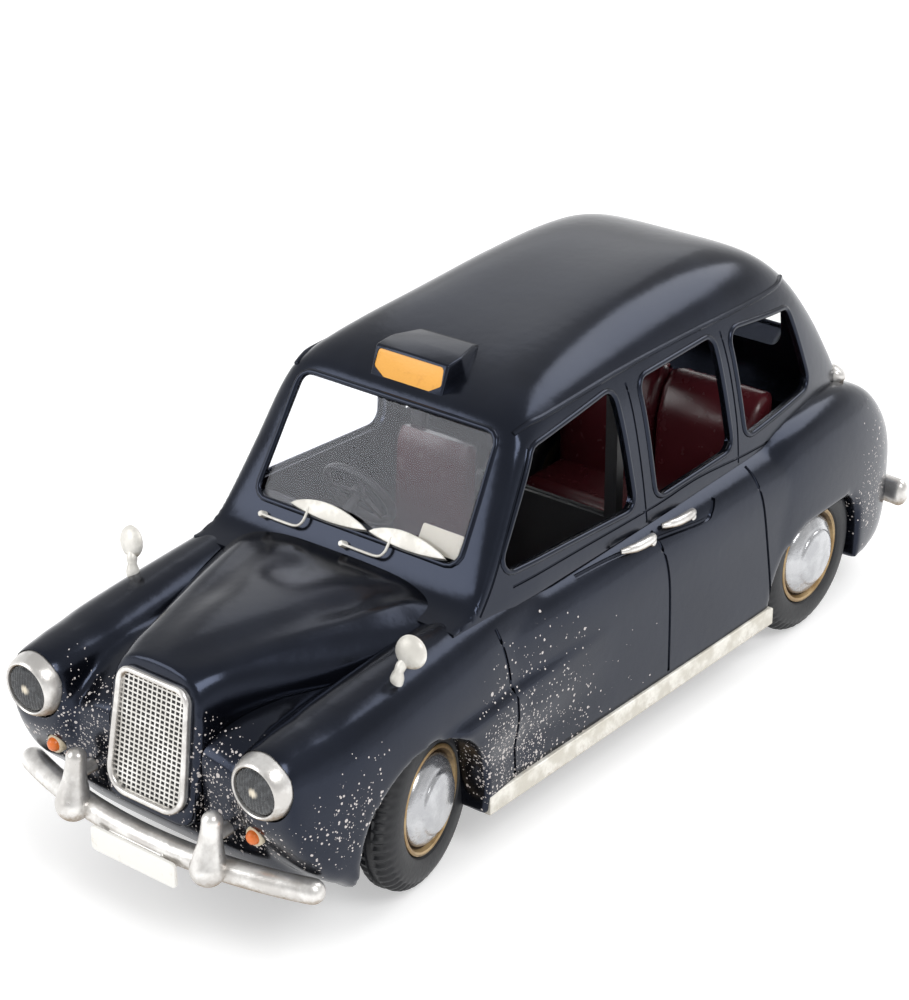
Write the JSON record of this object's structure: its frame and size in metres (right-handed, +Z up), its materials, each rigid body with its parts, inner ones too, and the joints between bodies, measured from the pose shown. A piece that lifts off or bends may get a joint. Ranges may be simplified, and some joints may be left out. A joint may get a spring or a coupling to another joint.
{
  "type": "model taxi cab",
  "caption": "Display model of a tall black taxi cab with rolling wheels, open side windows, a mesh grille and a blank roof sign.",
  "frame": {"origin": "on the floor under the middle of the overall length, on the centre line", "axes": "+X forward, +Y to the car's left, +Z up"},
  "size_m": [0.38, 0.1384, 0.1577],
  "materials": {
    "black_paint": "gloss black paint on cast resin",
    "silver_paint": "silver paint with a bronze wash",
    "hub_silver": "silver paint with a gold ring",
    "grille_mesh": "bronze-washed silver paint",
    "underside": "matt black",
    "clear": "clear sheet",
    "lens": "dark ribbed lens",
    "amber": "orange gloss",
    "red_lamp": "red gloss",
    "plate": "off-white paint",
    "sign": "amber paint",
    "trim_black": "satin black",
    "seat": "maroon paint",
    "partition": "grey paint",
    "tyre": "satin blue-black paint"
  },
  "bodies": {
    "body": {"body_shell": "black_paint", "bonnet": "black_paint", "cabin": "black_paint", "base_plate": "underside", "windscreen": "clear", "rear_window": "clear", "grille_frame": "silver_paint", "grille_mesh": "grille_mesh", "headlamp_left": "silver_paint", "headlamp_right": "silver_paint", "lens_left": "lens", "lens_right": "lens", "indicators": "amber", "front_bumper": "silver_paint", "number_plate": "plate", "rear_bumper": "silver_paint", "tail_lamps": "red_lamp", "sign_housing": "black_paint", "sign_face": "sign", "mirror_left": "silver_paint", "mirror_right": "silver_paint", "wipers": "silver_paint", "handles_left": "silver_paint", "handles_right": "silver_paint", "sill_left": "silver_paint", "sill_right": "silver_paint", "filler_cap": "silver_paint", "dashboard": "trim_black", "steering_wheel": "trim_black", "driver_seat": "seat", "partition": "partition", "partition_glass": "clear", "rear_bench": "seat", "taximeter": "trim_black", "front_axle": "underside", "rear_axle": "underside"},
    "front_left_wheel": {"tyre_front_left": "tyre", "wheel_front_left": "hub_silver"},
    "front_right_wheel": {"tyre_front_right": "tyre", "wheel_front_right": "hub_silver"},
    "rear_left_wheel": {"tyre_rear_left": "tyre", "wheel_rear_left": "hub_silver"},
    "rear_right_wheel": {"tyre_rear_right": "tyre", "wheel_rear_right": "hub_silver"}
  },
  "joints": [
    {"name": "front_left_spin", "type": "hinge", "parent": "body", "child": "front_left_wheel", "pos_m": [0.111, 0.0516, 0.0314], "axis": [-0.2079, 0.9781, 0], "continuous": true},
    {"name": "front_right_spin", "type": "hinge", "parent": "body", "child": "front_right_wheel", "pos_m": [0.111, -0.0516, 0.0314], "axis": [-0.165, 0.9863, 0], "continuous": true},
    {"name": "rear_left_spin", "type": "hinge", "parent": "body", "child": "rear_left_wheel", "pos_m": [-0.112, 0.0576, 0.0314], "axis": [0, 1, 0], "continuous": true},
    {"name": "rear_right_spin", "type": "hinge", "parent": "body", "child": "rear_right_wheel", "pos_m": [-0.112, -0.0576, 0.0314], "axis": [0, 1, 0], "continuous": true}
  ]
}
